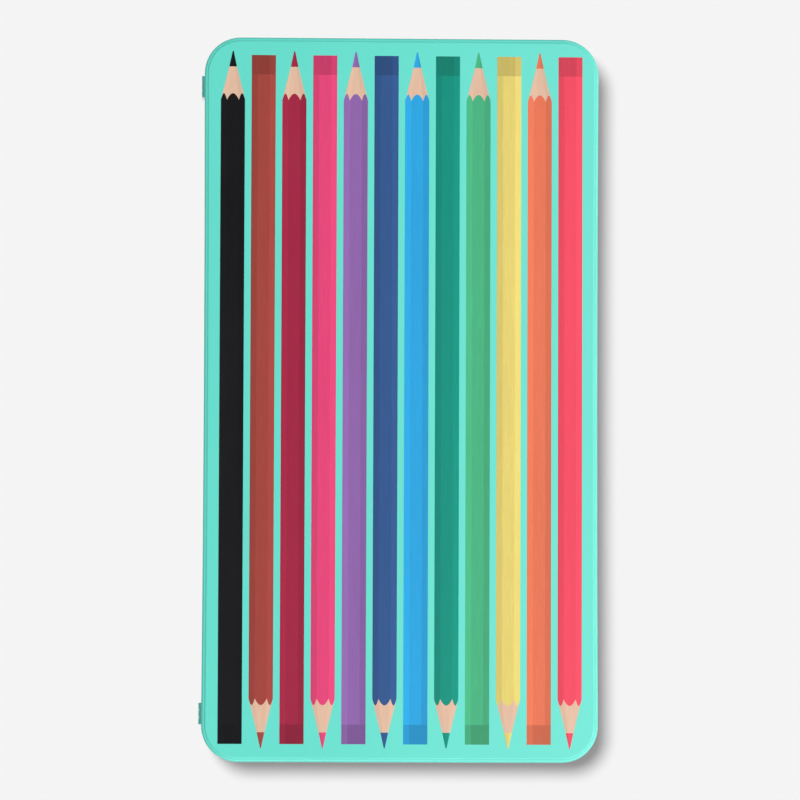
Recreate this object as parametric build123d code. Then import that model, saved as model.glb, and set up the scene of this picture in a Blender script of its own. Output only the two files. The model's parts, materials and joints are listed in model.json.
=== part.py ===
from build123d import *
import math
import os

# Colored pencil tin: a drawn tinplate lid hinged to a drawn tinplate base, with a moulded
# tray, twelve hexagonal pencils and a foam pad inside. Millimetres, +Z up. The origin is
# under the middle of the closed tin, on the surface it rests on. The long sides lie along
# Y, the hinges are on the -X side, and the pencils point to +Y. The contents set the size
# of the tin round them.

# Pencils
PENCIL_COLOURS = ["black", "navy", "green", "pink", "brown", "orange",
                  "yellow", "maroon", "sky", "purple", "teal", "red"]
PENCIL_LENGTH = 174.0
PENCIL_FLATS = 6.9
PENCIL_EDGE_RADIUS = 0.5
PENCIL_GAP = 0.7  # between neighbours
PENCIL_END_CLEARANCE = 0.48  # blunt ends to the tray, at the tray's rounded corners
POINT_SPACE = 5.46  # points to the tray's end wall
LACQUER = 0.12
LEAD_DIAMETER = 3.0
LEAD_TIP_DIAMETER = 0.5
GLUE_LINE = 0.02
POINT_HALF_ANGLE = 12.0  # degrees

# Tinplate
SHEET = 0.25
CORNER_RADIUS = 9.3
SIDE_WAIST = 0.3  # how far each long side draws in at its middle
SHEET_LAP = 0.3  # flat panels run this far into the bent edges round them

# Lid
LID_DEPTH = 5.77  # top of the tin to the lower edge of the lid's skirt
LID_EDGE_RADIUS = 0.55
LID_SHOULDER_END = 0.72  # inset at which the step to the top panel begins
PANEL_STEP_RUN = 0.4
PANEL_STEP = 0.2
HEM_HEIGHT = 1.6
HEM_BEND = 0.2  # radius of the folded hem's middle line

# Base
SEAM_GAP = 0.2  # between the lid's hem and the shoulder it closes on
RIM_CLEARANCE = 0.27  # between the lid's hem and the rim inside it
RIM_HEADROOM = 1.82  # between the rim's rolled edge and the lid's shoulder
CURL_BEND = 0.3  # radius of the rolled edge's middle line
CURL_TURN = 265.0  # degrees
JOGGLE_BEND = 0.3
BASE_EDGE_RADIUS = 1.0
REST_RING_WIDTH = 6.0
FOOT_RUN = 1.2
FOOT_STEP = 0.5  # how far the bottom's panel stands above the ring it rests on

# Hinges, one near each end of the -X side
HINGE_LENGTH = 5.5
HINGE_FROM_CORNER = 0.2
HINGE_OFFSET = 0.1  # axis outside the outline
PIN_DIAMETER = 0.6
PIN_CLEARANCE = 0.05
PIN_CHAMFER = 0.1
KNUCKLE_GAP = 0.15
KNUCKLE_OWNERS = ["base", "lid", "base"]

# Tray
TRAY_SHEET = 0.4
TRAY_CLEARANCE = 0.3
TRAY_WALL_HEIGHT = 5.25
TRAY_SIDE_SHELF = 2.73
RIDGE_HEIGHT = 1.8
GROOVE_SLOPE = math.radians(30)  # fits a hexagon that stands on a corner
TROUGH_FROM_END = 30.0
TROUGH_WIDTH = 24.0

# Pad
PAD_THICKNESS = 2.3
PAD_CLEARANCE = 0.3
PAD_SIDE_CLEARANCE = 1.2
PAD_EDGE_RADIUS = 0.4

# Across the sheet metal of a side, from the outline inwards
HEM_THICKNESS = 2 * HEM_BEND + SHEET
RIM_INSET = HEM_THICKNESS + RIM_CLEARANCE
CURL_INSET = RIM_INSET + 2 * CURL_BEND + SHEET  # inner side of the rolled edge
TRAY_INSET = CURL_INSET + TRAY_CLEARANCE
TRAY_INNER = TRAY_INSET + TRAY_SHEET
PAD_INSET = CURL_INSET + PAD_SIDE_CLEARANCE

# Up through the tin
PENCIL_CORNER = PENCIL_FLATS / math.sqrt(3)  # centre to corner, before rounding
FLOOR_HEIGHT = FOOT_STEP + SHEET
GROOVE_HEIGHT = FLOOR_HEIGHT + TRAY_SHEET  # bottom line of the V grooves
PENCIL_AXIS_HEIGHT = GROOVE_HEIGHT + PENCIL_CORNER
PAD_HEIGHT = PENCIL_AXIS_HEIGHT + PENCIL_CORNER + PAD_CLEARANCE
TIN_HEIGHT = PAD_HEIGHT + PAD_THICKNESS + SHEET
SEAM_HEIGHT = TIN_HEIGHT - LID_DEPTH
SHOULDER_HEIGHT = SEAM_HEIGHT - SEAM_GAP
RIM_HEIGHT = TIN_HEIGHT - PANEL_STEP - SHEET - RIM_HEADROOM

# Plan of the tin
PENCIL_PITCH = PENCIL_FLATS + PENCIL_GAP
TIN_WIDTH = len(PENCIL_COLOURS) * PENCIL_PITCH + 2 * (TRAY_SIDE_SHELF + TRAY_INNER)
TRAY_CORNER = max(CORNER_RADIUS - TRAY_INNER, 0)
CORNER_OVERLAP = max(TRAY_CORNER - TRAY_SIDE_SHELF - PENCIL_GAP / 2, 0)
CORNER_DEPTH = TRAY_CORNER - math.sqrt(TRAY_CORNER**2 - CORNER_OVERLAP**2)
PENCIL_END_GAP = CORNER_DEPTH + PENCIL_END_CLEARANCE
TIN_LENGTH = PENCIL_LENGTH + PENCIL_END_GAP + POINT_SPACE + 2 * TRAY_INNER
PENCIL_REAR = -TIN_LENGTH / 2 + TRAY_INNER + PENCIL_END_GAP
TROUGH_CENTRE = -TIN_LENGTH / 2 + TRAY_INNER + TROUGH_FROM_END

# Hinges
HINGE_X = -TIN_WIDTH / 2 - HINGE_OFFSET
HINGE_CENTRE = TIN_LENGTH / 2 - CORNER_RADIUS - HINGE_FROM_CORNER - HINGE_LENGTH / 2
BORE_RADIUS = PIN_DIAMETER / 2 + PIN_CLEARANCE
KNUCKLE_RADIUS = BORE_RADIUS + SHEET
KNUCKLE_REACH = KNUCKLE_RADIUS + KNUCKLE_GAP  # room that a turning knuckle needs
KNUCKLE_STEP = (HINGE_LENGTH + KNUCKLE_GAP) / len(KNUCKLE_OWNERS)
KNUCKLE_LENGTH = KNUCKLE_STEP - KNUCKLE_GAP


def outline(inset=0.0):
    """Face of the tin's plan, drawn in by inset all round."""
    x, y = TIN_WIDTH / 2, TIN_LENGTH / 2
    waist = x - SIDE_WAIST
    sides = [
        Line((x, y), (-x, y)),
        ThreePointArc((-x, y), (-waist, 0), (-x, -y)),
        Line((-x, -y), (x, -y)),
        ThreePointArc((x, -y), (waist, 0), (x, y)),
    ]
    plan = make_face(sides)
    plan = fillet(plan.vertices(), CORNER_RADIUS)
    return offset(plan, amount=-inset) if inset else plan


def plate(inset, low, high):
    """Flat solid with the tin's plan, between two heights."""
    return Pos(0, 0, low) * extrude(outline(inset), high - low)


def wall(middle_line):
    """Sheet metal round the tin, bent to a middle line drawn as (inset, height)."""
    section = mirror(trace(middle_line, SHEET), Plane.YZ)
    placed = Plane.XZ * Pos(TIN_WIDTH / 2 - SIDE_WAIST, 0) * section
    return sweep(placed, path=outline().wire())


def lid_middle_line():
    """From the inner end of the folded hem, up the skirt and over to the top panel."""
    hem_inset = SHEET / 2 + 2 * HEM_BEND
    fold = SEAM_HEIGHT + SHEET / 2 + HEM_BEND
    panel = TIN_HEIGHT - SHEET / 2
    panel_inset = LID_SHOULDER_END + PANEL_STEP_RUN
    hem = Line((hem_inset, SEAM_HEIGHT + HEM_HEIGHT), (hem_inset, fold))
    bend = CenterArc((SHEET / 2 + HEM_BEND, fold), HEM_BEND, 0, -180)
    skirt = FilletPolyline(
        (SHEET / 2, fold),
        (SHEET / 2, panel - PANEL_STEP),
        (LID_SHOULDER_END, panel - PANEL_STEP),
        (panel_inset, panel),
        (panel_inset + 2 * SHEET_LAP, panel),
        radius=[LID_EDGE_RADIUS - SHEET / 2, PANEL_STEP, PANEL_STEP],
    )
    return Curve() + [hem, bend, skirt]


def base_middle_line():
    """From the bottom's panel, over the resting ring and up the wall to the rolled edge."""
    panel = FOOT_STEP + SHEET / 2
    panel_inset = REST_RING_WIDTH + FOOT_RUN
    shoulder = SHOULDER_HEIGHT - SHEET / 2
    rim = RIM_INSET + SHEET / 2
    curl = RIM_HEIGHT - SHEET / 2 - CURL_BEND
    profile = FilletPolyline(
        (panel_inset + 2 * SHEET_LAP, panel),
        (panel_inset, panel),
        (REST_RING_WIDTH, SHEET / 2),
        (SHEET / 2, SHEET / 2),
        (SHEET / 2, shoulder),
        (rim, shoulder),
        (rim, curl),
        radius=[FOOT_STEP, FOOT_STEP, BASE_EDGE_RADIUS - SHEET / 2, JOGGLE_BEND, JOGGLE_BEND],
    )
    return Curve() + [profile, CenterArc((rim + CURL_BEND, curl), CURL_BEND, 180, -CURL_TURN)]


def along_hinge(radius, centre, length):
    """Cylinder on the hinge axis, centred at a place along Y."""
    return Pos(HINGE_X, centre, SEAM_HEIGHT) * Rot(X=90) * Cylinder(radius, length)


def knuckle_centres(owner):
    """Places along Y of the knuckles that one shell carries, on both hinges."""
    middle = (len(KNUCKLE_OWNERS) - 1) / 2
    places = [
        (index - middle) * KNUCKLE_STEP
        for index, carrier in enumerate(KNUCKLE_OWNERS)
        if carrier == owner
    ]
    return [side * HINGE_CENTRE + place for side in (-1, 1) for place in places]


def notch(centre, inner, low, high):
    """Box over one knuckle's length, from outside the tin to inner, about the hinge axis."""
    box = Box(KNUCKLE_REACH + inner, KNUCKLE_LENGTH + 2 * KNUCKLE_GAP, high - low)
    middle = ((inner - KNUCKLE_REACH) / 2, 0, (high + low) / 2)
    return Pos(HINGE_X, centre, SEAM_HEIGHT) * Pos(*middle) * box


def with_knuckles(shell, owner):
    """Adds a shell's own knuckles, bored for the pin."""
    for centre in knuckle_centres(owner):
        shell += along_hinge(KNUCKLE_RADIUS, centre, KNUCKLE_LENGTH)
        shell -= along_hinge(BORE_RADIUS, centre, KNUCKLE_LENGTH + KNUCKLE_GAP)
    return shell


def lid_shell():
    panel_inset = LID_SHOULDER_END + PANEL_STEP_RUN + SHEET_LAP
    shell = wall(lid_middle_line()) + plate(panel_inset, TIN_HEIGHT - SHEET, TIN_HEIGHT)
    behind_hem = HINGE_OFFSET + SIDE_WAIST + HEM_THICKNESS + KNUCKLE_GAP
    for centre in knuckle_centres("base"):
        shell -= notch(centre, behind_hem, -SHEET, KNUCKLE_REACH)
    return with_knuckles(shell, "lid")


def base_shell():
    panel_inset = REST_RING_WIDTH + FOOT_RUN + SHEET_LAP
    shell = wall(base_middle_line()) + plate(panel_inset, FOOT_STEP, FOOT_STEP + SHEET)
    for centre in knuckle_centres("lid"):
        shell -= notch(centre, KNUCKLE_REACH, -KNUCKLE_REACH, SHEET)
    return with_knuckles(shell, "base")


def hinge_pin(side):
    pin = along_hinge(PIN_DIAMETER / 2, side * HINGE_CENTRE, HINGE_LENGTH)
    return chamfer(pin.edges().filter_by(GeomType.CIRCLE), PIN_CHAMFER)


def pencil_places():
    """Places of the pencils' axes along X, from the hinged side."""
    count = len(PENCIL_COLOURS)
    return [(index - (count - 1) / 2) * PENCIL_PITCH for index in range(count)]


def ridge_section(index, shrink):
    """Ridge beside a V groove, foot at height 0. The outermost two are the side shelves."""
    foot = PENCIL_PITCH / 2 + shrink / math.tan(GROOVE_SLOPE) - shrink / math.sin(GROOVE_SLOPE)
    head = foot - RIDGE_HEIGHT / math.tan(GROOVE_SLOPE)
    shelf = (TIN_WIDTH / 2, TIN_WIDTH / 2)
    left_foot, left_head = shelf if index == 0 else (foot, head)
    right_foot, right_head = shelf if index == len(PENCIL_COLOURS) else (foot, head)
    corners = [(-left_foot, 0), (right_foot, 0), (right_head, RIDGE_HEIGHT), (-left_head, RIDGE_HEIGHT)]
    return make_face(Polyline(*corners, close=True))


def ridges(shrink, low, inset):
    """Ridges and side shelves within the tray's plan, with the finger trough left open."""
    half_trough = TROUGH_WIDTH / 2 + shrink
    runs = [
        (-TIN_LENGTH / 2, TROUGH_CENTRE - half_trough),
        (TROUGH_CENTRE + half_trough, TIN_LENGTH / 2),
    ]
    plan = plate(inset, low, low + RIDGE_HEIGHT)
    solids = []
    for index in range(len(PENCIL_COLOURS) + 1):
        section = Plane.XZ * ridge_section(index, shrink)
        centre = (index - len(PENCIL_COLOURS) / 2) * PENCIL_PITCH
        for start, end in runs:
            solids.append(Pos(centre, end, low) * extrude(section, end - start) & plan)
    return solids


def pencil_tray():
    """Thermoformed tray: floor, upstand all round, and hollow ridges between V grooves."""
    top = FLOOR_HEIGHT + TRAY_WALL_HEIGHT
    tray = plate(TRAY_INSET, FLOOR_HEIGHT, top) - plate(TRAY_INNER, GROOVE_HEIGHT, top)
    tray += ridges(0, GROOVE_HEIGHT, TRAY_INSET)
    tray -= ridges(TRAY_SHEET, FLOOR_HEIGHT, TRAY_INNER)
    return tray


def lid_pad():
    pad = plate(PAD_INSET, PAD_HEIGHT, TIN_HEIGHT - SHEET)
    return fillet(pad.faces().sort_by(Axis.Z)[0].edges(), PAD_EDGE_RADIUS)


def hexagonal_bar(flats, edge_radius):
    """Hexagonal bar along +Y from the origin, standing on a corner."""
    section = RegularPolygon(flats / 2, 6, major_radius=False, rotation=30)
    section = fillet(section.vertices(), edge_radius)
    return extrude(Plane.XZ * section, -PENCIL_LENGTH)


def round_bar(diameter):
    """Round bar along +Y from the origin."""
    return extrude(Plane.XZ * Circle(diameter / 2), -PENCIL_LENGTH)


def sharpening():
    """What a sharpener leaves of a pencil: the cone of the point and all that is behind it."""
    tip = LEAD_TIP_DIAMETER / 2
    run = (PENCIL_CORNER - tip) / math.tan(math.radians(POINT_HALF_ANGLE))
    half = [
        (0, 0),
        (PENCIL_CORNER, 0),
        (PENCIL_CORNER, PENCIL_LENGTH - run),
        (tip, PENCIL_LENGTH),
        (0, PENCIL_LENGTH),
    ]
    return revolve(make_face(Polyline(*half, close=True)), Axis.Y)


def pencil():
    """Lead, wood and lacquer of one pencil along +Y, standing on a corner."""
    point = sharpening()
    outer = hexagonal_bar(PENCIL_FLATS, PENCIL_EDGE_RADIUS)
    inner = hexagonal_bar(PENCIL_FLATS - 2 * LACQUER, PENCIL_EDGE_RADIUS - LACQUER)
    bore = round_bar(LEAD_DIAMETER + 2 * GLUE_LINE)
    return {
        "lead": round_bar(LEAD_DIAMETER) & point,
        "wood": (inner - bore) & point,
        "lacquer": (outer - inner) & point,
    }


def pencils():
    made = pencil()
    nodes = {}
    for colour, place in zip(PENCIL_COLOURS, pencil_places()):
        for piece, shape in made.items():
            nodes[f"{colour}_pencil_{piece}"] = Pos(place, PENCIL_REAR, PENCIL_AXIS_HEIGHT) * shape
    return nodes


def pieces():
    nodes = {
        "lid_shell": lid_shell(),
        "base_shell": base_shell(),
        "rear_hinge_pin": hinge_pin(1),
        "front_hinge_pin": hinge_pin(-1),
        "pencil_tray": pencil_tray(),
        "lid_pad": lid_pad(),
    }
    return nodes | pencils()


os.makedirs("parts", exist_ok=True)
for name, shape in pieces().items():
    export_step(shape, f"parts/{name}.step")
print(f"tin {TIN_WIDTH:.2f} x {TIN_LENGTH:.2f} x {TIN_HEIGHT:.2f}, hinge axis at "
      f"x {HINGE_X:.3f}, z {SEAM_HEIGHT:.3f}")
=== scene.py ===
"""Finishes, printed lid, foam lining, light and camera for a flat tin of twelve coloured pencils.

Lengths in named values are millimetres, as in the part's source, and are turned into metres where they meet Blender.
The photograph looks almost straight down on the closed lid, with +X to its right and +Y to its top.
"""
import json
import math

import bmesh
import bpy
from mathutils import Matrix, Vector


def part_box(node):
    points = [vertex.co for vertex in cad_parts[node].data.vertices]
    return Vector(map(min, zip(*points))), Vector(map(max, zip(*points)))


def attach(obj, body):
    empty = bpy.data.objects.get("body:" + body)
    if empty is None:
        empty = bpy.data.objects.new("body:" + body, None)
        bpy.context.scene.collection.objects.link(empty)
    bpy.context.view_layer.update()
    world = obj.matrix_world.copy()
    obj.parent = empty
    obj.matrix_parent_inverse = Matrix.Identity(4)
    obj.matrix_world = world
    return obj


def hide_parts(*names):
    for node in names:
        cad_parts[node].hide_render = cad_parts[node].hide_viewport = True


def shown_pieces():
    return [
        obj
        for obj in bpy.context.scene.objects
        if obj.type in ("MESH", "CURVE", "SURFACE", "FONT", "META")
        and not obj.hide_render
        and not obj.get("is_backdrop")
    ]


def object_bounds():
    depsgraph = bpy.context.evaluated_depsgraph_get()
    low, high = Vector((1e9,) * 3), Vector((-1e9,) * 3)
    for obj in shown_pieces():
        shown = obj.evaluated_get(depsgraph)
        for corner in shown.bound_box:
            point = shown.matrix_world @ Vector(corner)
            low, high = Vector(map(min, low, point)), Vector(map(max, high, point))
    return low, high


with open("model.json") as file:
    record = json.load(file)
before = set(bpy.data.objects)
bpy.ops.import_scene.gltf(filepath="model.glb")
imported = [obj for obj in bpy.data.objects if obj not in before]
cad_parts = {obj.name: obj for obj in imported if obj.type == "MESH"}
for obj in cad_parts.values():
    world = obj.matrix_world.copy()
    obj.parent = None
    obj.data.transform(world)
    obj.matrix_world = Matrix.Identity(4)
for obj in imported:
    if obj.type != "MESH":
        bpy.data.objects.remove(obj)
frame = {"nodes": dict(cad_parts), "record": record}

MM = 0.001
cad_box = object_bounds()

# ---------------------------------------------------------------- sizes and places

# Left to right in the tray, as the photograph's palette runs
PENCILS = ["black", "navy", "green", "pink", "brown", "orange", "yellow", "maroon", "sky", "purple", "teal", "red"]
# Left to right in the lid's print, a design of this scene's own
PRINT_ORDER = ["black", "brown", "maroon", "pink", "purple", "navy", "sky", "teal", "green", "yellow", "orange", "red"]

PRINT_PITCH = 7.9
PRINT_WIDTH = 6.2
PRINT_POINT_REACH = 89.4
PRINT_END_REACH = 88.4
PRINT_CONE_LENGTH = 12.6
PRINT_LEAD_LENGTH = 4.0
PRINT_BAND_LENGTH = 5.0
PRINT_POINT_WIDTH = 0.25
PRINT_RISE = 0.02
PRINT_SUNK = 0.03
# Middle of each facet from the pencil's axis, in half widths, and how narrow its slant makes it look
FACETS = ((-0.75, 0.5), (0.0, 1.0), (0.75, 0.5))
SCALLOP_STEPS = 8  # points along each facet's paint edge
INK_TONES = (("light", 1.12), ("middle", 1.0), ("dark", 0.86))
BAND_TONE = 0.72
WOOD_TONES = (("light", 1.04), ("middle", 1.0), ("dark", 0.93))

# Where the bare tinplate inside the shells begins
HEM_HEIGHT = 1.7
LINING_DEPTH = 1.3
CURL_HEIGHT = 1.0
FLOOR_DEPTH = 3.0
FACING = 0.25  # how far a face must turn from level or upright to count as turned

PAD_CORNER_RADIUS = 6.2
PAD_EDGE_RADIUS = 0.4
PAD_SHRINK = 0.02
PAD_ROWS = 110
PAD_COLUMNS = 150
PAD_CORNER_STEPS = 8
PAD_EDGE_STEPS = 5
DENT_DEPTH = 0.14
DENT_HALF_WIDTH = 1.6
DENT_RUN_OUT = 4.0  # over which a dent fades in from each end of the pencils

FLOOR_SIZE = 12000.0
VIEW_WIDTH = 205.16
SENSOR_WIDTH = 36.0
CAMERA_HEIGHT = 1200.0
CAMERA_X, CAMERA_Y = -38.0, -66.0  # the photograph was taken from a little to the lower left
CAMERA_SHIFT = -0.46  # up the photograph
CAMERA_ROLL = 0.2  # degrees

# ---------------------------------------------------------------- light, in metres, degrees and Blender's units

KEY_TOWARDS = (0.6, -0.35, 0.62)
KEY_DISTANCE = 3.0
KEY_SIZE = 2.0
KEY_POWER = 88.0
OVERHEAD_LIGHT = 0.4 * math.pi
OVERHEAD_SPREAD = 90
FLOOR_OVERHEAD_LIGHT = 0.25 * math.pi
FLOOR_OVERHEAD_SPREAD = 3
FLOOR_SLANT_TOWARDS = (-0.287, 0.27, 1)
FLOOR_SLANT_LIGHT = 2.26
FLOOR_SLANT_SPREAD = 23.5

RIM_AZIMUTHS = (("rim_right", -15), ("rim_front", -75))
RIM_ELEVATION = 57.0
RIM_DISTANCE = 2.0
RIM_WIDTH = 1.75
RIM_TALL = 0.85
RIM_RADIANCE = 4.0

# The room that the gloss sees. A direction's share towards the bright side runs from -1 to 1, and its height too.
ROOM_TOWARDS = (0.7, -0.7)
ROOM_SPAN = 0.8
ROOM_BRIGHT_SIDE = 0.7
ROOM_DARK_SIDE = 0.3
ROOM_WALL_TOP, ROOM_WALL_FULL = 0.9, 0.5
CEILING_TOWARDS = (0.95, -0.2)
CEILING_FROM, CEILING_FULL = -0.02, 0.1
CEILING_LOW, CEILING_HIGH = 0.75, 0.9
CEILING_LEVEL = 2.6
STRAY_LIGHT = 0.08

# ---------------------------------------------------------------- colours

def linear(red, green, blue):
    """Scene-linear colour of an sRGB colour given as 0 to 255."""
    def channel(value):
        value /= 255
        return value / 12.92 if value <= 0.04045 else ((value + 0.055) / 1.055) ** 2.4
    return (channel(red), channel(green), channel(blue), 1.0)


def toned(colour, factor):
    """The colour made lighter or darker, with its hue kept."""
    return tuple(min(1.0, channel * factor) for channel in colour[:3]) + (1.0,)


def under_gloss(colour):
    """The colour that looks like the given one through the faint white veil of its own gloss."""
    return tuple(max(0.001, channel - GLOSS_VEIL) for channel in colour[:3]) + (1.0,)


SLOT_COLOURS = {row["slot"]: (*row["base_color"], 1.0) for row in frame["record"]["materials"]}
MINT = linear(101, 222, 205)
TINPLATE = linear(225, 226, 227)
PRINTED_WOOD = linear(223, 185, 159)
PALE_GREY = linear(245, 245, 245)
GLOSS_VEIL = 0.01

# ---------------------------------------------------------------- node building

class Finish:
    """A material's node tree. Its pattern coordinates are the piece's own at rest, in millimetres."""

    def __init__(self, name, **constants):
        self.material = bpy.data.materials.new(name)
        self.material.use_nodes = True
        self.nodes = self.material.node_tree.nodes
        self.links = self.material.node_tree.links
        self.shader = self.nodes["Principled BSDF"]
        for socket, value in constants.items():
            self.shader.inputs[socket.replace("_", " ")].default_value = value
        self.coordinates = self.nodes.new("ShaderNodeTexCoord")
        self.place = self.node("VectorMath", {0: self.coordinates.outputs["Object"], "Scale": 1 / MM},
                               operation="SCALE")

    def node(self, kind, inputs, output=0, **settings):
        """Adds a node and returns one of its outputs. Inputs are values or other nodes' outputs."""
        node = self.nodes.new("ShaderNode" + kind)
        for key, value in settings.items():
            setattr(node, key, value)
        for key, value in inputs.items():
            self.feed(node.inputs[key], value)
        return node.outputs[output]

    def feed(self, socket, value):
        if isinstance(value, bpy.types.NodeSocket):
            self.links.new(value, socket)
        else:
            socket.default_value = value

    def set(self, **inputs):
        """Feeds the shader's own sockets and returns the finished material."""
        for socket, value in inputs.items():
            self.feed(self.shader.inputs[socket.replace("_", " ")], value)
        return self.material

    def math(self, operation, first, second=0.0):
        return self.node("Math", {0: first, 1: second}, operation=operation)

    def parts(self, vector):
        """The x, y and z of a vector."""
        return tuple(self.node("SeparateXYZ", {0: vector}).node.outputs)

    def stretched(self, x=1.0, y=1.0, z=1.0):
        """Coordinates divided by these lengths, so that a pattern of size 1 has them."""
        return self.node("VectorMath", {0: self.place, 1: (1 / x, 1 / y, 1 / z)}, operation="MULTIPLY")

    def noise(self, x, y=None, z=None, detail=2.0, roughness=0.5, distortion=0.0):
        """Smooth noise from 0 to 1 whose patches measure x by y by z."""
        where = self.stretched(x, y or x, z or x)
        return self.node("TexNoise", {"Vector": where, "Scale": 1.0, "Detail": detail, "Roughness": roughness,
                                      "Distortion": distortion})

    def ranged(self, value, low, high, to_low=0.0, to_high=1.0, smooth=False):
        """The value's run from low to high turned into one from to_low to to_high, and held beyond it."""
        return self.node("MapRange", {"Value": value, "From Min": low, "From Max": high, "To Min": to_low,
                                      "To Max": to_high}, interpolation_type="SMOOTHSTEP" if smooth else "LINEAR")

    def mixed(self, factor, first, second, blend="MIX"):
        """Two colours mixed."""
        return self.node("Mix", {0: factor, 6: first, 7: second}, output=2, data_type="RGBA", blend_type=blend)

    def blended(self, factor, first, second):
        """Two numbers mixed."""
        return self.node("Mix", {0: factor, 2: first, 3: second})

    def bumped(self, height, rise, normal=None):
        """Normal of a surface whose height runs from 0 to rise millimetres."""
        inputs = {"Strength": 1.0, "Distance": rise * MM, "Height": height}
        if normal is not None:
            inputs["Normal"] = normal
        return self.node("Bump", inputs)


# ---------------------------------------------------------------- finishes of the tin

def varnished_surface(finish):
    """Normal of varnished sheet metal: wide, shallow waves from drawing and a fine orange peel."""
    waves = finish.noise(38, 52, 38, detail=1.0)
    peel = finish.noise(0.7, detail=2.0)
    return finish.bumped(peel, 0.0016, finish.bumped(waves, 0.05))


def varnish_roughness(finish, base):
    """Roughness with slow changes and faint handling marks."""
    patches = finish.noise(24, detail=3.0)
    marks = finish.noise(0.35, 9, 9, detail=4.0, roughness=0.6)
    slow = finish.ranged(patches, 0.3, 0.7, base - 0.03, base + 0.03)
    return finish.math("ADD", slow, finish.ranged(marks, 0.62, 0.8, 0.0, 0.05))


def outward_facing(finish):
    """How far a wall faces out of the tin: 1 outside, -1 inside and 0 on level faces."""
    x, y, _ = finish.parts(finish.place)
    across, along, _ = finish.parts(finish.coordinates.outputs["Normal"])
    sideways = finish.math("MULTIPLY", finish.math("SIGN", x), across)
    lengthways = finish.math("MULTIPLY", finish.math("SIGN", y), along)
    return finish.math("ADD", sideways, lengthways)


def lid_lining(finish, low, high):
    """1 on the lid's unprinted inside, above the folded hem."""
    z = finish.parts(finish.place)[2]
    upright = finish.parts(finish.coordinates.outputs["Normal"])[2]
    wall = finish.math("LESS_THAN", outward_facing(finish), -FACING)
    above_hem = finish.math("GREATER_THAN", z, low + HEM_HEIGHT)
    ceiling = finish.math("LESS_THAN", upright, -FACING)
    near_top = finish.math("GREATER_THAN", z, high - LINING_DEPTH)
    return finish.math("MAXIMUM", finish.math("MULTIPLY", wall, above_hem),
                       finish.math("MULTIPLY", ceiling, near_top))


def base_lining(finish, low, high):
    """1 on the base's unprinted inside, below the rolled rim."""
    z = finish.parts(finish.place)[2]
    upright = finish.parts(finish.coordinates.outputs["Normal"])[2]
    wall = finish.math("LESS_THAN", outward_facing(finish), -FACING)
    below_curl = finish.math("LESS_THAN", z, high - CURL_HEIGHT)
    floor = finish.math("GREATER_THAN", upright, FACING)
    near_floor = finish.math("LESS_THAN", z, low + FLOOR_DEPTH)
    return finish.math("MAXIMUM", finish.math("MULTIPLY", wall, below_curl),
                       finish.math("MULTIPLY", floor, near_floor))


def tinplate_colour(finish):
    """Bright tinplate with the fine lines that rolling leaves along the sheet."""
    lines = finish.noise(0.22, 30, 0.22, detail=3.0, roughness=0.7)
    clouds = finish.noise(14, detail=3.0)
    colour = finish.mixed(finish.ranged(lines, 0.3, 0.7), toned(TINPLATE, 0.86), TINPLATE)
    return finish.mixed(finish.ranged(clouds, 0.35, 0.75, 0.0, 0.25), colour, toned(TINPLATE, 0.8))


def enamel(name, node, lining):
    """Gloss mint enamel outside and bare tinplate inside."""
    low, high = (corner.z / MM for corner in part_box(node))
    finish = Finish(name, IOR=1.5)
    bare = lining(finish, low, high)
    tone = finish.noise(55, 80, 20, detail=2.0)
    fleck = finish.noise(0.5, detail=2.0)
    paint = finish.mixed(finish.ranged(tone, 0.3, 0.7), toned(MINT, 0.975), toned(MINT, 1.02))
    paint = finish.mixed(finish.ranged(fleck, 0.35, 0.75, 0.0, 0.05), paint, toned(MINT, 0.8))
    bare_roughness = finish.ranged(finish.noise(0.22, 30, 0.22, detail=3.0, roughness=0.7), 0.3, 0.7, 0.2, 0.36)
    return finish.set(
        Base_Color=finish.mixed(bare, paint, tinplate_colour(finish)),
        Metallic=bare,
        Roughness=finish.blended(bare, varnish_roughness(finish, 0.15), bare_roughness),
        Normal=varnished_surface(finish),
    )


def ink(name, colour, spread=0.03):
    """Printing ink, a little less glossy than the enamel, with the slight unevenness of a printed solid."""
    finish = Finish(name, IOR=1.5, Specular_IOR_Level=0.2)
    tone = finish.noise(9, 60, 9, detail=2.0)
    streaks = finish.noise(0.45, 7, 0.45, detail=3.0, roughness=0.6)
    grain = finish.noise(0.3, 0.9, 0.3, detail=2.0)
    solid = finish.mixed(finish.ranged(tone, 0.3, 0.7), toned(colour, 1 - spread), toned(colour, 1 + spread))
    solid = finish.mixed(finish.ranged(streaks, 0.45, 0.75, 0.0, 0.22), solid, toned(colour, 1.4))
    solid = finish.mixed(finish.ranged(grain, 0.4, 0.8, 0.0, 0.14), solid, toned(colour, 0.75))
    return finish.set(Base_Color=solid, Roughness=varnish_roughness(finish, 0.15), Normal=varnished_surface(finish))


def hinge_wire():
    """Drawn steel wire with lines along it."""
    finish = Finish("hinge_wire_steel", Metallic=1.0)
    colour = SLOT_COLOURS["hinge_wire"]
    lines = finish.noise(0.06, 2.5, 0.06, detail=3.0)
    return finish.set(
        Base_Color=finish.mixed(lines, toned(colour, 0.8), toned(colour, 1.25)),
        Roughness=finish.ranged(lines, 0.2, 0.8, 0.25, 0.42),
        Normal=finish.bumped(lines, 0.004),
    )


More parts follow.
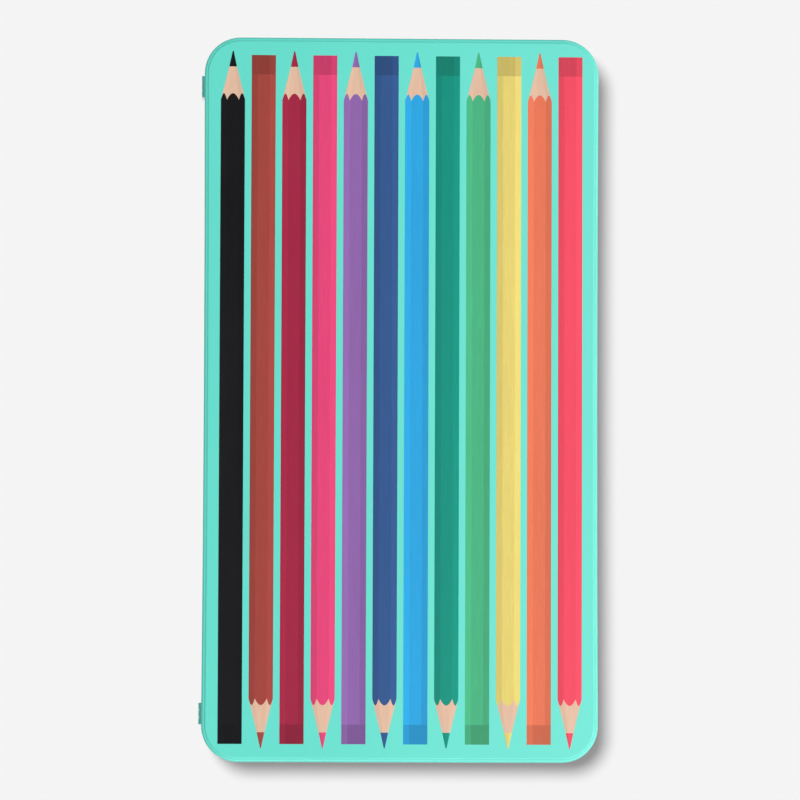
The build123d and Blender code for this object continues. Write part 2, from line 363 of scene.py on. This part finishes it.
def tray_plastic():
    """White thermoformed sheet: slightly milky, with a fine grain and soft forming marks."""
    finish = Finish("tray_white_sheet", IOR=1.5, Subsurface_Weight=0.12, Subsurface_Scale=0.0012,
                    Subsurface_Radius=(1.0, 1.0, 1.0))
    colour = SLOT_COLOURS["tray_plastic"]
    clouds = finish.noise(30, detail=2.0)
    grain = finish.noise(0.18, detail=2.0)
    marks = finish.noise(3.0, 14, 3.0, detail=2.0)
    body = finish.mixed(finish.ranged(clouds, 0.3, 0.7), toned(colour, 0.96), colour)
    return finish.set(
        Base_Color=finish.mixed(finish.ranged(grain, 0.4, 0.8, 0.0, 0.1), body, toned(colour, 0.88)),
        Roughness=finish.ranged(marks, 0.3, 0.7, 0.34, 0.44),
        Normal=finish.bumped(grain, 0.006, finish.bumped(marks, 0.03)),
    )


def pad_foam():
    """Closed-cell foam sheet: small, even, round cells, each a shallow hollow darkened in colour as painted shade, and
    a faint bloom.
    """
    finish = Finish("pad_white_foam", Roughness=0.95, IOR=1.4, Sheen_Weight=0.15, Sheen_Roughness=0.6)
    colour = SLOT_COLOURS["pad_foam"]
    cells = finish.node("TexVoronoi", {"Vector": finish.stretched(0.34, 0.34, 0.34), "Scale": 1.0,
                                       "Randomness": 0.75}, feature="SMOOTH_F1")
    # Each cell's middle is a shallow hollow in the bump, and its colour is darkened there too: painted shade.
    pit_depth_and_shade = finish.ranged(cells, 0.5, 0.1, smooth=True)
    slow = finish.noise(60, 90, 60, detail=1.0)
    body = finish.mixed(finish.ranged(slow, 0.3, 0.7), toned(colour, 0.98), colour)
    return finish.set(
        Base_Color=finish.mixed(finish.math("MULTIPLY", pit_depth_and_shade, 0.35), body, toned(colour, 0.8)),
        Normal=finish.bumped(finish.math("SUBTRACT", 1.0, pit_depth_and_shade), 0.03),
    )


# ---------------------------------------------------------------- finishes of the pencils

def lacquer(colour_name):
    """Thick gloss lacquer, a little thinner and lighter in slow bands along the pencil."""
    colour = SLOT_COLOURS[colour_name + "_lacquer"]
    finish = Finish(colour_name + "_lacquer_gloss", Roughness=0.3, IOR=1.5, Specular_IOR_Level=0.2, Coat_Weight=0.8,
                    Coat_Roughness=0.08)
    bands = finish.noise(5, 16, 5, detail=2.0)
    specks = finish.noise(0.25, detail=2.0)
    drips = finish.noise(1.6, 5.0, 1.6, detail=1.0)
    body = finish.mixed(finish.ranged(bands, 0.3, 0.7), toned(colour, 0.93), toned(colour, 1.05))
    return finish.set(
        Base_Color=finish.mixed(finish.ranged(specks, 0.62, 0.8, 0.0, 0.2), body, toned(colour, 0.75)),
        Normal=finish.bumped(specks, 0.0015, finish.bumped(drips, 0.012)),
    )


def pencil_wood():
    """Pale, straight-grained wood, cut by a sharpener that leaves fine rings round the cone."""
    finish = Finish("pencil_pale_wood", IOR=1.45)
    colour = SLOT_COLOURS["pencil_wood"]
    grain = finish.noise(0.35, 14, 0.35, detail=4.0, roughness=0.65, distortion=0.3)
    pores = finish.noise(0.12, 2.2, 0.12, detail=2.0)
    tone = finish.noise(6, 60, 6, detail=1.0)
    rings = finish.noise(30, 0.11, 30, detail=1.0)
    body = finish.mixed(finish.ranged(grain, 0.3, 0.7), toned(colour, 0.82), toned(colour, 1.06))
    body = finish.mixed(finish.ranged(tone, 0.3, 0.7, 0.0, 0.3), body, toned(colour, 0.88))
    body = finish.mixed(finish.ranged(pores, 0.6, 0.75, 0.0, 0.45), body, toned(colour, 0.5))
    return finish.set(
        Base_Color=body,
        Roughness=finish.ranged(grain, 0.3, 0.7, 0.62, 0.78),
        Normal=finish.bumped(rings, 0.012, finish.bumped(grain, 0.02)),
    )


def pigment_core(colour_name):
    """Waxy coloured lead, slightly polished by the sharpener."""
    colour = SLOT_COLOURS[colour_name + "_core"]
    finish = Finish(colour_name + "_waxy_lead", IOR=1.45, Sheen_Weight=0.1, Sheen_Roughness=0.4)
    crumbs = finish.noise(0.09, 0.14, 0.09, detail=3.0)
    rings = finish.noise(20, 0.1, 20, detail=1.0)
    return finish.set(
        Base_Color=finish.mixed(finish.ranged(crumbs, 0.35, 0.75), toned(colour, 1.08), toned(colour, 0.85)),
        Roughness=finish.ranged(rings, 0.3, 0.7, 0.42, 0.6),
        Normal=finish.bumped(rings, 0.008, finish.bumped(crumbs, 0.012)),
    )


# ---------------------------------------------------------------- building the pieces

def dress(node, material):
    """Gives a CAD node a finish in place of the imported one."""
    piece = frame["nodes"][node]
    piece.data.materials.clear()
    piece.data.materials.append(material)


def new_piece(name, mesh, body):
    """A finished mesh as a piece that rides on a body."""
    piece = bpy.data.objects.new(name, mesh)
    bpy.context.scene.collection.objects.link(piece)
    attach(piece, body)
    return piece


def pencil_print_rows(length):
    """Rows of (across, along) points, blunt end first, of a sharpened hexagonal pencil seen from the side.

    The paint's edge is where the cone cuts the bar's flats, so it comes from that cut's own formula.
    """
    side = PRINT_WIDTH / 2
    apothem = side * math.cos(math.pi / 6)
    slope = side / PRINT_CONE_LENGTH
    scallop = []
    for middle, foreshortening in FACETS:
        for step in range(SCALLOP_STEPS):
            on_facet = side * (step / SCALLOP_STEPS - 0.5)
            across = middle * side + on_facet * foreshortening
            scallop.append((across, length - math.hypot(apothem, on_facet) / slope))
    scallop.append((side, length - PRINT_CONE_LENGTH))
    columns = [across for across, _ in scallop]
    lead_share = PRINT_LEAD_LENGTH / PRINT_CONE_LENGTH
    point_share = PRINT_POINT_WIDTH / PRINT_WIDTH
    return [
        [(across, 0.0) for across in columns],
        [(across, PRINT_BAND_LENGTH) for across in columns],
        scallop,
        [(across * lead_share, length - PRINT_LEAD_LENGTH) for across in columns],
        [(across * point_share, length) for across in columns],
    ]


def pencil_print_mesh(name, centre_x, points_up, top, materials):
    """A thin closed slab in the outline of a pencil. Each facet of each band has its own ink."""
    length = PRINT_POINT_REACH + PRINT_END_REACH
    rows = pencil_print_rows(length)
    direction = 1 if points_up else -1
    mesh = bmesh.new()
    sheets = []
    for height in (top + PRINT_RISE, top - PRINT_SUNK):
        sheets.append([[mesh.verts.new(Vector((centre_x + direction * across,
                                               direction * (along - PRINT_END_REACH), height)) * MM)
                        for across, along in row] for row in rows])
    upper, lower = sheets
    bands, columns = len(rows) - 1, len(rows[0]) - 1
    for band in range(bands):
        for column in range(columns):
            ring = (band, column), (band, column + 1), (band + 1, column + 1), (band + 1, column)
            face = mesh.faces.new([upper[i][j] for i, j in ring])
            face.material_index = band * len(FACETS) + column // SCALLOP_STEPS
            mesh.faces.new([lower[i][j] for i, j in reversed(ring)])
    rim = [(0, j) for j in range(columns)] + [(i, columns) for i in range(bands)]
    rim += [(bands, j) for j in range(columns, 0, -1)] + [(i, 0) for i in range(bands, 0, -1)]
    for (i, j), (k, m) in zip(rim, rim[1:] + rim[:1]):
        mesh.faces.new([upper[k][m], upper[i][j], lower[i][j], lower[k][m]])
    bmesh.ops.recalc_face_normals(mesh, faces=mesh.faces)
    data = bpy.data.meshes.new(name)
    mesh.to_mesh(data)
    mesh.free()
    for material in materials:
        data.materials.append(material)
    return data


def printed_pencils():
    """The lid's print: twelve plain hexagonal pencils, point up and point down in turn."""
    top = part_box("lid_shell")[1].z / MM
    wood = [ink(f"print_wood_{tone}", toned(PRINTED_WOOD, factor)) for tone, factor in WOOD_TONES]
    for index, colour_name in enumerate(PRINT_ORDER):
        colour = under_gloss(SLOT_COLOURS[colour_name + "_lacquer"])
        light, middle, dark = (ink(f"print_{colour_name}_{tone}", toned(colour, factor))
                               for tone, factor in INK_TONES)
        deep = ink(f"print_{colour_name}_deep", toned(colour, BAND_TONE))
        centre_x = (index - (len(PRINT_ORDER) - 1) / 2) * PRINT_PITCH
        materials = [dark, deep, deep, light, middle, dark, *wood, light, middle, dark]
        mesh = pencil_print_mesh(f"print_{colour_name}", centre_x, index % 2 == 0, top, materials)
        new_piece(f"print_{colour_name}_pencil", mesh, "lid")


def pad_outline(half_x, half_y, radius, inset):
    """Right half of a rounded rectangle as (half width, y) from -y to +y, drawn in by inset."""
    points = []
    straight = half_y - radius
    for step in range(PAD_CORNER_STEPS + 1):
        turn = math.pi / 2 * step / PAD_CORNER_STEPS
        points.append((half_x - radius + (radius - inset) * math.sin(turn),
                       -straight - (radius - inset) * math.cos(turn)))
    for step in range(1, PAD_ROWS):
        points.append((half_x - inset, -straight + 2 * straight * step / PAD_ROWS))
    return points + [(width, -y) for width, y in reversed(points[:PAD_CORNER_STEPS + 1])]


def foam_pad():
    """The lid's foam lining: soft lower edges and a shallow dent over each pencil."""
    low, high = (Vector(corner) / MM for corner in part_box("lid_pad"))
    centre = (low + high) / 2
    half_x, half_y = (high.x - low.x) / 2 - PAD_SHRINK, (high.y - low.y) / 2 - PAD_SHRINK
    pencil_boxes = [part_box(f"{colour}_pencil_lacquer") for colour in PENCILS]
    pencil_x = [(a.x + b.x) / 2 / MM for a, b in pencil_boxes]
    pencil_low, pencil_high = pencil_boxes[0][0].y / MM, pencil_boxes[0][1].y / MM

    def dent(x, y):
        from_low = min(1.0, max(0.0, (y - pencil_low) / DENT_RUN_OUT))
        from_high = min(1.0, max(0.0, (pencil_high - y) / DENT_RUN_OUT))
        across = sum(math.exp(-(((x - middle) / DENT_HALF_WIDTH) ** 2)) for middle in pencil_x)
        return DENT_DEPTH * across * (from_low * from_high)

    mesh = bmesh.new()

    def face_grid(z, inset, dented):
        grid = []
        for width, y in pad_outline(half_x, half_y, PAD_CORNER_RADIUS, inset):
            row = []
            for column in range(PAD_COLUMNS + 1):
                x = width * (2 * column / PAD_COLUMNS - 1)
                lift = dent(x + centre.x, y + centre.y) if dented else 0.0
                row.append(mesh.verts.new(Vector((x + centre.x, y + centre.y, z + lift)) * MM))
            grid.append(row)
        for near, far in zip(grid, grid[1:]):
            for column in range(PAD_COLUMNS):
                mesh.faces.new([near[column], near[column + 1], far[column + 1], far[column]])
        return grid

    def rim_of(grid):
        return (grid[0] + [row[-1] for row in grid[1:-1]] + grid[-1][::-1]
                + [row[0] for row in grid[-2:0:-1]])

    under = face_grid(low.z, PAD_EDGE_RADIUS, True)
    above = face_grid(high.z, 0.0, False)
    previous, last = rim_of(under), rim_of(above)
    under_rim = [Vector(vert.co) / MM for vert in previous]
    above_rim = [Vector(vert.co) / MM for vert in last]
    for step in range(1, PAD_EDGE_STEPS + 1):
        turn = math.pi / 2 * step / PAD_EDGE_STEPS
        ring = []
        for inner, outer in zip(under_rim, above_rim):
            spot = inner.lerp(outer, math.sin(turn))
            spot.z = inner.z + PAD_EDGE_RADIUS * (1 - math.cos(turn))
            ring.append(mesh.verts.new(spot * MM))
        join_rims(mesh, previous, ring)
        previous = ring
    join_rims(mesh, previous, last)
    bmesh.ops.recalc_face_normals(mesh, faces=mesh.faces)
    for face in mesh.faces:
        face.smooth = True
    data = bpy.data.meshes.new("foam_pad")
    mesh.to_mesh(data)
    mesh.free()
    data.materials.append(pad_foam())
    pad = new_piece("foam_pad", data, "lid")
    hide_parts("lid_pad")


def join_rims(mesh, first, second):
    """A band of faces between two closed rings of as many points."""
    for index in range(len(first)):
        following = (index + 1) % len(first)
        mesh.faces.new([first[index], first[following], second[following], second[index]])


def dress_cad_nodes():
    """Finishes of the pieces whose CAD shape is already right."""
    dress("lid_shell", enamel("lid_mint_enamel", "lid_shell", lid_lining))
    dress("base_shell", enamel("base_mint_enamel", "base_shell", base_lining))
    wire = hinge_wire()
    dress("rear_hinge_pin", wire)
    dress("front_hinge_pin", wire)
    dress("pencil_tray", tray_plastic())
    wood = pencil_wood()
    for colour in PENCILS:
        dress(f"{colour}_pencil_wood", wood)
        dress(f"{colour}_pencil_lead", pigment_core(colour))
        dress(f"{colour}_pencil_lacquer", lacquer(colour))


# ---------------------------------------------------------------- stage, light and camera

def pale_floor():
    """Plain pale paper."""
    half = FLOOR_SIZE / 2 * MM
    data = bpy.data.meshes.new("floor")
    data.from_pydata([(-half, -half, 0), (half, -half, 0), (half, half, 0), (-half, half, 0)], [], [(0, 1, 2, 3)])
    finish = Finish("floor_paper", Roughness=1.0, Specular_IOR_Level=0.0)
    data.materials.append(finish.set(Base_Color=PALE_GREY))
    floor = bpy.data.objects.new("floor", data)
    bpy.context.scene.collection.objects.link(floor)
    floor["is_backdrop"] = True
    return floor


def lamp(name, kind, towards, lit, distance=1.0, **settings):
    """A lamp that shines from a direction on the pieces in the collection lit."""
    data = bpy.data.lights.new(name, kind)
    for key, value in settings.items():
        setattr(data, key, value)
    light = bpy.data.objects.new(name, data)
    direction = Vector(towards).normalized()
    light.location = direction * distance
    light.rotation_mode = "QUATERNION"
    light.rotation_quaternion = direction.to_track_quat("Z", "Y")
    light.light_linking.receiver_collection = lit
    bpy.context.scene.collection.objects.link(light)
    return light


def collection_of(name, objects):
    group = bpy.data.collections.new(name)
    for member in objects:
        group.objects.link(member)
    return group


def studio(floor):
    """The lamps: a soft key from the lower right and a broad overhead light on the tin, the floor's own light, whose
    slanting part gives the short, soft shadow at the right and below, and two panels that show only in the shells'
    gloss, as the bright line along the right and lower edges."""
    tin = collection_of("lit_tin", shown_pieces())
    ground = collection_of("lit_floor", [floor])
    shells = collection_of("lit_shells", [frame["nodes"][name] for name in ("lid_shell", "base_shell")])
    key = lamp("key", "AREA", KEY_TOWARDS, tin, distance=KEY_DISTANCE, energy=KEY_POWER, shape="SQUARE",
               size=KEY_SIZE)
    key.visible_glossy = False
    overhead = lamp("overhead", "SUN", (0, 0, 1), tin, energy=OVERHEAD_LIGHT, angle=math.radians(OVERHEAD_SPREAD))
    overhead.visible_glossy = False
    lamp("floor_overhead", "SUN", (0, 0, 1), ground, energy=FLOOR_OVERHEAD_LIGHT,
         angle=math.radians(FLOOR_OVERHEAD_SPREAD))
    lamp("floor_slanting", "SUN", FLOOR_SLANT_TOWARDS, ground, energy=FLOOR_SLANT_LIGHT,
         angle=math.radians(FLOOR_SLANT_SPREAD))
    for name, azimuth in RIM_AZIMUTHS:
        turn, rise = math.radians(azimuth), math.radians(RIM_ELEVATION)
        towards = (math.cos(turn) * math.cos(rise), math.sin(turn) * math.cos(rise), math.sin(rise))
        rim = lamp(name, "AREA", towards, shells, distance=RIM_DISTANCE,
                   energy=RIM_RADIANCE * math.pi * RIM_WIDTH * RIM_TALL,
                   shape="RECTANGLE", size=RIM_WIDTH, size_y=RIM_TALL)
        rim.visible_diffuse = False
    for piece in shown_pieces():
        piece.visible_diffuse = False


def surroundings():
    """The pale background, and the room that the tin's gloss sees: walls that are brighter towards the key and end
    below the camera, and a bright ceiling to the right of it."""
    world = bpy.data.worlds.new("studio")
    bpy.context.scene.world = world
    world.use_nodes = True
    nodes, links = world.node_tree.nodes, world.node_tree.links

    def node(kind, inputs, **settings):
        made = nodes.new("ShaderNode" + kind)
        for key, value in settings.items():
            setattr(made, key, value)
        for key, value in inputs.items():
            if isinstance(value, bpy.types.NodeSocket):
                links.new(value, made.inputs[key])
            else:
                made.inputs[key].default_value = value
        return made

    direction = node("TexCoord", {}).outputs["Generated"]
    height = node("SeparateXYZ", {0: direction}).outputs["Z"]

    def towards(x, y):
        return node("VectorMath", {0: direction, 1: (x, y, 0.0)}, operation="DOT_PRODUCT").outputs["Value"]

    def ramp(value, low, high, to_high):
        return node("MapRange", {"Value": value, "From Min": low, "From Max": high, "To Min": 0.0,
                                 "To Max": to_high}, interpolation_type="SMOOTHSTEP").outputs[0]

    def joined(operation, first, second):
        return node("Math", {0: first, 1: second}, operation=operation).outputs[0]

    bright_side = ramp(towards(*ROOM_TOWARDS), -ROOM_SPAN, ROOM_SPAN, ROOM_BRIGHT_SIDE - ROOM_DARK_SIDE)
    walls = joined("MULTIPLY", joined("ADD", bright_side, ROOM_DARK_SIDE),
                   ramp(height, ROOM_WALL_TOP, ROOM_WALL_FULL, 1.0))
    ceiling = joined("MULTIPLY", ramp(towards(*CEILING_TOWARDS), CEILING_FROM, CEILING_FULL, CEILING_LEVEL),
                     ramp(height, CEILING_LOW, CEILING_HIGH, 1.0))
    strength = joined("MAXIMUM", walls, ceiling)
    path = node("LightPath", {}).outputs
    strength = joined("MULTIPLY", path["Is Glossy Ray"], strength)
    strength = joined("MAXIMUM", strength, path["Is Camera Ray"])
    strength = joined("MAXIMUM", strength, STRAY_LIGHT)
    background = nodes["Background"]
    background.inputs["Color"].default_value = PALE_GREY
    links.new(strength, background.inputs["Strength"])


def camera():
    """A long lens above the lid, a little towards its lower left corner, where the photograph was taken from."""
    high = cad_box[1]
    data = bpy.data.cameras.new("camera")
    data.sensor_width = SENSOR_WIDTH
    data.lens = SENSOR_WIDTH * math.hypot(CAMERA_X, CAMERA_Y, CAMERA_HEIGHT) / VIEW_WIDTH
    data.clip_end = FLOOR_SIZE * MM
    view = bpy.data.objects.new("camera", data)
    view.location = (CAMERA_X * MM, (CAMERA_Y + CAMERA_SHIFT) * MM, high.z + CAMERA_HEIGHT * MM)
    view.rotation_euler = (-math.atan(CAMERA_Y / CAMERA_HEIGHT), math.atan(CAMERA_X / CAMERA_HEIGHT),
                           math.radians(CAMERA_ROLL))
    bpy.context.scene.collection.objects.link(view)
    bpy.context.scene.camera = view


dress_cad_nodes()
printed_pencils()
foam_pad()
camera()
studio(pale_floor())
surroundings()
bpy.context.scene.view_settings.view_transform = "Standard"
